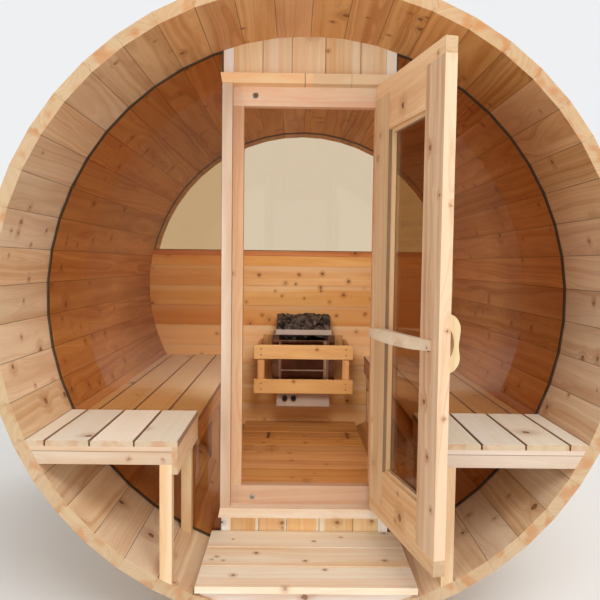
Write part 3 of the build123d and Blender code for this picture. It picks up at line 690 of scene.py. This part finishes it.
def back_boards():
    """The boards with their joints where they show under the cap: the top one is half a board."""
    low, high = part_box("back_wall_boards")
    radius, vee, play = (high.x - low.x) / 2, 0.0022, 0.0003
    upright = Matrix.Translation((0, (low.y + high.y) / 2, axis_z)) @ Matrix.Rotation(math.pi / 2, 4, "X")
    sheet = bmesh.new()
    foot, head = back_joint, high.z
    while head > low.z + 0.001:
        board = bmesh.new()
        bmesh.ops.create_cone(board, cap_ends=True, segments=240, radius1=radius, radius2=radius,
                              depth=high.y - low.y, matrix=upright)
        cut_away(board, (0, 0, max(foot, low.z)), (0, 0, -1))
        cut_away(board, (0, 0, head), (0, 0, 1))
        long_edges = []
        for edge in board.edges:
            along = edge.verts[0].co - edge.verts[1].co
            if abs(along.z) < 1e-6 and abs(along.x) > 0.3:
                long_edges.append(edge)
        bmesh.ops.bevel(board, geom=long_edges, offset=vee, segments=1, affect="EDGES")
        join_part(sheet, board)
        foot, head = foot - back_cover, foot - play
    shelled("back_boards", sheet, back_cedar, "sauna", ["back_wall_boards"])


back_boards()
planks("window_cap", "E6A070", "C67848", "X", 215.0, y=1.06, z=1.329, knots=0.2)

# The heater. A stainless case with an open top hangs off the wall on two brackets, over a control box.


def stainless(name, base, dark, rough, brushed=(1.0, 60.0, 900.0), metal=1.0, dull_above=None):
    """Brushed sheet steel with faint smudges. Above a height, where one is given, it is pale and dull."""
    material, surface, where = new_material(name)
    brush = noise(vector_maths("MULTIPLY", where["Object"], brushed), 1.0)[0]
    smudge = noise(where["Object"], 9.0, 3.0)[0]
    colour = blend(fade(smudge, 0.35, 0.7, 0.0, 0.6), tone(base), tone(dark))
    colour = blend(times(brush, 0.25), colour, tone(dark))
    level = plus(fade(smudge, 0.3, 0.7, rough, rough + 0.1), times(brush, 0.06))
    if dull_above:
        high = maths("GREATER_THAN", parts(where["Object"])[2], dull_above)
        colour = blend(high, colour, tone("C8BCAE"))
        level = plus(level, times(high, 0.3))
        metal = fade(high, 0.0, 1.0, metal, 0.35)
    solid(surface, colour, level, brush, 0.12, 0.0002, {"Metallic": metal})
    return material


throat_edge = 0.8109
# The brown of the case and its brackets is painted reflection of the cedar round the heater.
dress(stainless("heater steel", "9A7660", "6A4836", 0.2, dull_above=throat_edge), "heater_case",
      "heater_brackets")
dress(stainless("control box steel", "DDCEBE", "CCBEAF", 0.6, metal=0.4), "heater_control_box")
dress(mottled("black knob plastic", "151414", "242222", (60.0, 2.0), (1400.0, 1.0), (0.4, 0.7),
              (0.3, 0.7, 0.32, 0.5), (0.2, 0.0001)), "timer_knob", "thermostat_knob")


def plates(name, blocks, edge, material):
    """Sheet metal parts with eased edges, each given by its two opposite corners."""
    sheet = bmesh.new()
    for low, high in blocks:
        one = bmesh.new()
        bmesh.ops.create_cube(one, size=1.0)
        for vert in one.verts:
            vert.co = Vector([a + (c + 0.5) * (b - a) for a, b, c in zip(low, high, vert.co)])
        bmesh.ops.bevel(one, geom=one.edges[:], offset=edge, segments=3, profile=0.5, affect="EDGES")
        join_part(sheet, one)
    shelled(name, sheet, material, "sauna")


case_low, case_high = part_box("heater_case")
middle, front = (case_low.x + case_high.x) / 2, case_low.y
panel_half, panel_foot, panel_head, behind = 0.143, 0.457, 0.77, front + 0.001
# The front panels' brown is painted reflection of the cedar.
plates("heater_panels", [((middle - panel_half, front - 0.005, foot), (middle + panel_half, behind, head))
                         for foot, head in ((0.592, panel_head), (panel_foot, 0.578))],
       0.0022, stainless("panel steel", "7E5240", "4E3428", 0.24))
# The strips are partly real folds and a ridge, and partly painted highlight: they are painted near white, and
# the level strip stands where the panel shows a bright reflection of the floor.
edges = [((middle - panel_half, front - 0.007, 0.581), (middle + panel_half, behind, 0.589))]
for start, width in ((-0.157, 0.008), (-0.146, 0.006), (0.127, 0.022), (0.152, 0.007)):
    start += middle
    edges.append(((start, front - 0.009, panel_foot), (start + width, behind, panel_head)))
plates("heater_panel_edges", edges, 0.0025,
       stainless("panel edge steel", "F6EEE6", "CFC2B6", 0.3, (60.0, 60.0, 900.0)))

# The stones. Broken dark rock, each piece split from a bigger one, heaped in the heater's throat.
# They replace the plain heap and keep inside it.


def stone_rock():
    material, surface, where = new_material("broken stone")
    patches = noise(where["Object"], 28.0, 3.0)[0]
    specks = noise(where["Object"], 420.0)[0]
    colour = blend(fade(patches, 0.4, 0.62), tone("37302B"), tone("6E5E52"))
    colour = blend(fade(specks, 0.58, 0.72, 0.0, 0.6), colour, tone("8B7A6C"))
    solid(surface, colour, fade(specks, 0.4, 0.7, 0.65, 0.9), specks, 0.9, 0.002)
    return material


chance = random.Random(41)


def any_way():
    return Vector([chance.gauss(0, 1) for _ in range(3)]).normalized()


def split_stone(centre, size, low, high):
    """One stone: the hull of points on a stretched ball, kept inside the heap, with its edges worn."""
    spin = Matrix.Rotation(chance.uniform(0, math.tau), 3, any_way())
    stretch = Vector((chance.uniform(0.8, 1.4), chance.uniform(0.7, 1.1), chance.uniform(0.55, 0.9)))
    top = high.z - chance.choice((0.0005, 0.014, 0.018, 0.022, 0.026))
    stone = bmesh.new()
    for _ in range(11):
        spot = centre + spin @ Vector([a * b for a, b in zip(any_way() * size, stretch)])
        spot.x = min(max(spot.x, low.x + 0.001), high.x - 0.001)
        spot.y = min(max(spot.y, low.y + 0.001), high.y - 0.001)
        spot.z = min(spot.z, top)
        stone.verts.new(spot)
    hull = bmesh.ops.convex_hull(stone, input=stone.verts)
    spare = [inner for inner in hull["geom_interior"] if isinstance(inner, bmesh.types.BMVert)]
    bmesh.ops.delete(stone, geom=spare, context="VERTS")
    bmesh.ops.bevel(stone, geom=stone.edges[:], offset=size * 0.035, segments=1, affect="EDGES")
    return stone


def stone_heap():
    """Stones in layers, from inside the throat up to a ridged crown."""
    low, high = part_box("heater_stones")
    heap = bmesh.new()
    crown, step = 0.11, 0.042
    rim = high.z - crown
    level = rim - 0.03
    while level < high.z - 0.02:
        rise = max(0.0, (level - rim) / crown)
        half_wide = (high.x - low.x) / 2 * (1 - 0.02 * rise) - 0.02
        half_deep = (high.y - low.y) / 2 * (1 - 0.3 * rise) - 0.024
        columns, rows = round(half_wide * 2 / step), max(2, round(half_deep * 2 / step))
        for column in range(columns + 1):
            for row in range(rows + 1):
                size = chance.uniform(0.028, 0.043)
                centre = Vector(((low.x + high.x) / 2 + (2 * column / columns - 1) * half_wide,
                                 (low.y + high.y) / 2 + (2 * row / rows - 1) * half_deep, level))
                centre += Vector([chance.uniform(-0.009, 0.009) for _ in range(3)])
                join_part(heap, split_stone(centre, size, low, high))
        level += 0.034
    shelled("stones", heap, stone_rock(), "sauna", ["heater_stones"])


stone_heap()

# The heater guard: two planed boards on posts, with arms back to uprights on the wall.
guard_pair, guard_levels = (-0.6, 0.6), (0.405, 0.217)
planks("guard_boards", "EEC17D", "D99E59", "X", 233.0, y=0.706, z=guard_levels, knots=0.1, rings=0.3,
       spots=((0.096, 0.696, 0.728, 0.0084), (-0.049, 0.696, 0.526, 0.0084)))
planks("guard_posts", "EDBE80", "D4965A", "Z", 237.0, x=guard_pair, y=0.726)
planks("guard_arms", "E8B67A", "C98A50", "Y", 241.0, x=guard_pair, z=guard_levels)
back_wood = board_cedar("guard backs wood", "E2B27A", "BE8450", "Z", 239.0, x=guard_pair, y=1.03)
plates("guard_backs", [((x - 0.03, 1.0215, 0.43), (x + 0.03, 1.0405, 0.782)) for x in (-0.226, 0.25)],
       0.0025, back_wood)

# Bands and cradles: stainless straps round the staves, and planks on edge hollowed to the barrel.
dress(stainless("band steel", "CFCDCA", "A5A19C", 0.3, (40.0, 900.0, 40.0)), "steel_bands")
planks("cradles", "DDBE93", "A97F52", "X", 251.0, y=(-1.23, 0.82), z=0.09, knots=0.6, rings=0.8)

# The hinges: zinc-plated steel, their knuckles on one pin.
dress(stainless("hinge steel", "C4C2BE", "8F8B86", 0.3), "frame_hinges", "leaf_hinges")

# The screws. Each is turned steel with a driven recess, and all are made by one tree of geometry nodes
# from points that carry the way out of the wood.


def joined(*shapes):
    made = add(shapes[0].id_data, "GeometryNodeJoinGeometry")
    for shape in shapes:
        feed(made.inputs[0], shape)
    return made.outputs[0]


def screw_tree():
    tree, given, out = new_group(
        "screw heads", {"Geometry": "Geometry", "Head": "Float", "Rise": "Float", "Washer": "Float",
                        "Steel": "Material", "Recess": "Material"},
        {"Geometry": "Geometry"}, "GeometryNodeTree")
    points, head, rise, washer, steel, recess = given[:6]

    # A domed head on a thin washer.
    dome = fed("GeometryNodeMeshUVSphere", {"Segments": 20, "Rings": 8, "Radius": head})[0]
    dome = fed("GeometryNodeTransform", {"Geometry": dome,
                                         "Scale": point(1.0, 1.0, maths("DIVIDE", rise, head))})[0]
    flange = fed("GeometryNodeMeshCylinder", {"Vertices": 28, "Radius": washer,
                                              "Depth": times(rise, 0.5)})[0]
    metal = fed("GeometryNodeSetMaterial", {"Geometry": joined(dome, flange), "Material": steel})[0]

    # The recess is painted shade: two crossed dark bars that reach just out of the dome.
    long, slim, thin = times(head, 0.95), times(head, 0.2), times(rise, 0.3)
    bars = [fed("GeometryNodeMeshCube", {"Size": point(*size)})[0]
            for size in ((long, slim, thin), (slim, long, thin))]
    lift = point(0.0, 0.0, times(rise, 0.88))
    cross = fed("GeometryNodeTransform", {"Geometry": joined(*bars), "Translation": lift})[0]
    cross = fed("GeometryNodeSetMaterial", {"Geometry": cross, "Material": recess})[0]

    # Each screw points out of the wood and is turned by chance about its own length.
    way = add(tree, "GeometryNodeInputNamedAttribute", {"Name": "outward"}, data_type="FLOAT_VECTOR")
    turn = fed("FunctionNodeAlignRotationToVector", {"Vector": way.outputs[0]}, axis="Z")[0]
    spin = add(tree, "FunctionNodeRandomValue", {"Seed": 5, 3: math.tau}, data_type="FLOAT")
    spun = fed("FunctionNodeEulerToRotation", {0: point(0.0, 0.0, spin.outputs[1])})[0]
    turn = fed("FunctionNodeRotateRotation", {0: turn, 1: spun}, rotation_space="LOCAL")[0]
    placed = fed("GeometryNodeInstanceOnPoints", {"Points": points, "Instance": joined(metal, cross),
                                                  "Rotation": turn})[0]
    feed(out["Geometry"], fed("GeometryNodeRealizeInstances", {"Geometry": placed})[0])
    return tree


# Dark steel for the dark screw heads, and the painted shade of the screw recesses.
def make_dark_steel_and_recess_shade():
    material, surface, where = new_material("dark steel and recess shade")
    colour = blend(noise(where["Object"], 500.0)[0], tone("1F1B18"), tone("3A322C"))
    feed(surface, fed("ShaderNodeBsdfPrincipled", {"Base Color": colour, "Metallic": 0.6,
                                                   "Roughness": 0.5})[0])
    return material


screw_heads = screw_tree()
screw_steel = stainless("screw steel", "CFCFD0", "9A9A9C", 0.25, (300.0, 300.0, 300.0))
dark_steel_and_recess_shade = make_dark_steel_and_recess_shade()


def screws(name, spots, body, head, rise, washer=0.0001, steel=screw_steel):
    """Screw heads at these spots, given as (place, way out)."""
    points = bpy.data.meshes.new(name)
    points.from_pydata([spot for spot, _ in spots], [], [])
    ways = points.attributes.new("outward", "FLOAT_VECTOR", "POINT")
    ways.data.foreach_set("vector", [c for _, way in spots for c in way])
    holder = in_scene(name + "_points", points)
    modifier = holder.modifiers.new("screw heads", "NODES")
    modifier.node_group = screw_heads
    wanted = {"Head": head, "Rise": rise, "Washer": washer, "Steel": steel, "Recess": dark_steel_and_recess_shade}
    for item in screw_heads.interface.items_tree:
        if item.in_out == "INPUT" and item.name in wanted:
            modifier[item.identifier] = wanted[item.name]
    evaluated = holder.evaluated_get(bpy.context.evaluated_depsgraph_get())
    mesh = bpy.data.meshes.new_from_object(evaluated)
    mesh.name = name
    bpy.data.objects.remove(holder)
    finished(name, mesh, steel, body)


opening = Matrix.Rotation(open_turn, 3, "Z")
to_porch = Vector((0, -1, 0))
leaf_out = opening @ to_porch


def opened(x, y, z):
    """A point of the closed leaf, where it is at rest with the leaf open."""
    return pin + opening @ (Vector((x, y, 0)) - pin) + Vector((0, 0, z))


guard_low, guard_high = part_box("guard_boards")
guard_spots = [((x, guard_low.y, top - drop), to_porch) for x in (guard_low.x + 0.043, guard_high.x - 0.043)
               for top in (guard_high.z, guard_low.z + 0.089) for drop in (0.026, 0.063)]
screws("guard_screws", guard_spots, "sauna", 0.0042, 0.0012, steel=dark_steel_and_recess_shade)
screws("frame_screws", [((-0.21, -0.7687, 1.909), to_porch), ((-0.211, -0.7687, 0.327), to_porch)], "sauna",
       0.0066, 0.003, washer=0.0108)
screws("push_bar_screws", [(opened(-0.222, -0.7733, 0.998), -leaf_out)], "door", 0.0045, 0.0012,
       steel=dark_steel_and_recess_shade)
hinge_screws = [level + rise for level in (0.4861, 1.1215, 1.7569) for rise in (-0.025, 0.0, 0.025)]
screws("frame_hinge_screws", [((0.3135, -0.8162, z), to_porch) for z in hinge_screws], "sauna",
       0.0032, 0.0008)
screws("leaf_hinge_screws", [(opened(0.2705, -0.8162, z), leaf_out) for z in hinge_screws], "door",
       0.0032, 0.0008)

# The clamps that draw the bands tight, low on the right-hand side: rolled lugs, a threaded rod and nuts.


def rod(sheet, start, end, radius, sides):
    """A round or six-sided bar from one point to another."""
    way = end - start
    turn = way.to_track_quat("Z", "Y").to_matrix().to_4x4()
    bmesh.ops.create_cone(sheet, cap_ends=True, segments=sides, radius1=radius, radius2=radius,
                          depth=way.length, matrix=Matrix.Translation((start + end) / 2) @ turn)


def band_clamps():
    angle = math.radians(133.2)
    out = Vector((math.sin(angle), 0, math.cos(angle)))
    along = Vector((math.cos(angle), 0, -math.sin(angle)))
    low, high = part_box("steel_bands")
    surface = (high.x - low.x) / 2 * math.cos(stave_turn / 2)
    half_band = Vector((0, 0.0125, 0))
    sheet = bmesh.new()
    for y in (low.y + 0.0125, -0.0731, high.y - 0.0125):
        seat = Vector((0, y, axis_z)) + out * (surface + 0.008)
        for side in (-1, 1):
            lug = seat + along * side * 0.03
            rod(sheet, lug - half_band, lug + half_band, 0.0085, 24)
            nut = lug + along * side * 0.0085
            rod(sheet, nut, nut + along * side * 0.006, 0.0068, 6)
        rod(sheet, seat - along * 0.056, seat + along * 0.052, 0.003, 14)
    shelled("band_clamps", sheet, screw_steel, "sauna")


band_clamps()

# The studio: a pale floor that fades into a pale surround, soft lamps, and the camera of the photograph.
# A dark card far behind the camera shows only in polished surfaces. It stands in for the shade that the
# glass mirrors.


def pale_floor():
    material, surface, where = new_material("pale floor")
    tree = material.node_tree
    pale = add(tree, "ShaderNodeBsdfPrincipled", {"Base Color": (0.8, 0.8, 0.79, 1.0), "Roughness": 0.9})
    gone = add(tree, "ShaderNodeBsdfTransparent")
    far = fade(vector_maths("LENGTH", where["Object"]), 5.0, 16.0)
    feed(surface, mixed(far, pale.outputs[0], gone.outputs[0]))
    return material


def dark_card():
    material, surface, _ = new_material("dark card")
    feed(surface, add(material.node_tree, "ShaderNodeBsdfPrincipled", {
        "Base Color": (0.05, 0.05, 0.035, 1.0), "Roughness": 1.0, "Specular IOR Level": 0.0}).outputs[0])
    return material


def flat(name, corners, material):
    mesh = bpy.data.meshes.new(name)
    mesh.from_pydata(corners, [], [(0, 1, 2, 3)])
    mesh.materials.append(material)
    return in_scene(name, mesh)


floor = flat("studio_floor", [(-60, -60, 0), (60, -60, 0), (60, 60, 0), (-60, 60, 0)], pale_floor())
card = flat("dark_card", [(-14, -11, -1), (14, -11, -1), (14, -11, 11), (-14, -11, 11)], dark_card())
for kind in ("camera", "diffuse", "transmission", "shadow", "volume_scatter"):
    setattr(card, f"visible_{kind}", False)

world = bpy.data.worlds.new("studio")
bpy.context.scene.world = world
world.use_nodes = True
sky = world.node_tree
sky.nodes.clear()
ray = add(sky, "ShaderNodeLightPath").outputs
seen = maths("MAXIMUM", ray["Is Camera Ray"], ray["Is Transmission Ray"])
soft = add(sky, "ShaderNodeBackground", {"Color": (1.0, 0.99, 0.97, 1.0), "Strength": 0.6})
pale = add(sky, "ShaderNodeBackground", {"Color": (0.86, 0.87, 0.88, 1.0), "Strength": 1.0})
add(sky, "ShaderNodeOutputWorld", {"Surface": mixed(seen, soft.outputs[0], pale.outputs[0])})


def lamp(name, place, target, size, power, spread=180, in_gloss=True):
    light = bpy.data.lights.new(name, "AREA")
    light.shape = "DISK"
    light.size = size
    light.energy = power
    light.spread = math.radians(spread)
    holder = in_scene(name, light)
    holder.location = place
    holder.rotation_euler = (Vector(target) - Vector(place)).to_track_quat("-Z", "Y").to_euler()
    holder.visible_glossy = in_gloss
    holder.visible_transmission = in_gloss


lamp("key_lamp", (1.2, -5.6, 6.4), (0, -0.6, 0.8), 4.0, 240)
lamp("side_fill", (5.0, -6.5, 1.4), (0, -0.8, 1.1), 5.0, 95, in_gloss=False)
lamp("front_fill", (0.0, -15.0, 1.8), (0, 0, 1.1), 6.0, 250, in_gloss=False)
lamp("low_fill", (-4.5, -6.0, 0.9), (0.5, -0.9, 0.9), 3.0, 75, in_gloss=False)
lamp("back_fill", (3.5, 8.0, 5.5), (0, 0.4, 1.0), 4.5, 300)
lamp("cabin_fill", (0.0, -0.62, 1.3), (0, 1.04, 0.85), 0.5, 5.6, spread=125, in_gloss=False)

# The camera's focal length is in pixels of a picture 600 wide, and its sensor is 36 mm wide.
focal, picture = 643.46, 600
pitch, yaw, roll = math.radians(3.21), math.radians(0.55), -0.0125
forward = Vector((math.sin(yaw) * math.cos(pitch), math.cos(yaw) * math.cos(pitch), -math.sin(pitch)))
level_right = Vector((math.cos(yaw), -math.sin(yaw), 0))
level_down = forward.cross(level_right)
right = math.cos(roll) * level_right + math.sin(roll) * level_down
down = math.cos(roll) * level_down - math.sin(roll) * level_right
camera_data = bpy.data.cameras.new("camera")
camera_data.sensor_width = 36.0
camera_data.lens = focal / picture * 36.0
camera = in_scene("camera", camera_data)
turned = Matrix((right, -down, -forward)).transposed().to_4x4()
camera.matrix_world = Matrix.Translation((-0.0531, -3.299, 1.2608)) @ turned
bpy.context.scene.camera = camera
bpy.context.scene.view_settings.view_transform = "Standard"

bpy.context.view_layer.update()
